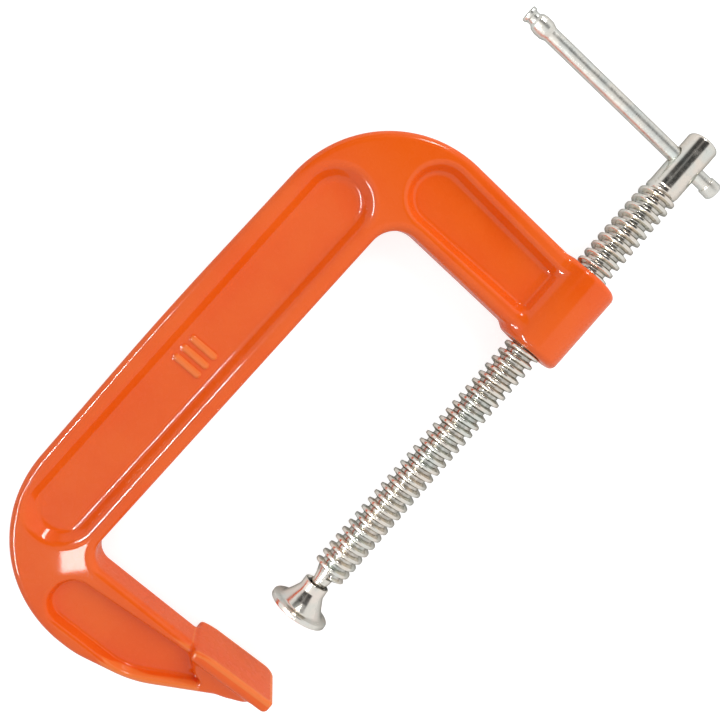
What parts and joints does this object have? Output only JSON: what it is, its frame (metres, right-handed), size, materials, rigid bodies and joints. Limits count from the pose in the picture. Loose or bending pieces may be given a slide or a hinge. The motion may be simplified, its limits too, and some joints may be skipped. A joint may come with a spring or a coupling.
{
  "type": "c clamp",
  "caption": "C clamp with an I-section cast frame, a trapezoidal screw through a tapped boss, a sliding bar handle and a swivel pad.",
  "frame": {"origin": "centre of the screw's axis on the anvil's working face", "axes": "+Y along the screw from the anvil to the handle, +X from the spine to the screw, +Z square to the plane of the frame"},
  "size_m": [0.1284, 0.2996, 0.027],
  "materials": {
    "enamel": "gloss orange enamel over cast iron",
    "plated_steel": "bright zinc plate, lightly worn",
    "spring_wire": "dark oiled spring steel"
  },
  "bodies": {
    "frame": {"frame": "enamel"},
    "carrier": {"retaining_ring": "spring_wire"},
    "screw": {"screw": "plated_steel"},
    "bar": {"tommy_bar": "plated_steel"},
    "pad": {"swivel_pad": "plated_steel"}
  },
  "joints": [
    {"name": "screw_advance", "type": "slide", "parent": "frame", "child": "carrier", "axis": [0, -1, 0], "range_m": [-0.1198, 0.0286]},
    {"name": "screw_turn", "type": "hinge", "parent": "carrier", "child": "screw", "pos_m": [0, 0.1, 0], "axis": [0, -1, 0], "range_deg": [-11301, 2706]},
    {"name": "bar_slide", "type": "slide", "parent": "screw", "child": "bar", "axis": [1, 0, 0], "range_m": [-0.0043, 0.0638]},
    {"name": "pad_tilt", "type": "hinge", "parent": "carrier", "child": "pad", "pos_m": [0, 0.0386, 0], "axis": [0, 0, 1], "range_deg": [-14.5, 3.5]}
  ],
  "couplings": [
    {"joint": "screw_turn", "follows": "screw_advance", "rad_per_m": 1644.8}
  ]
}
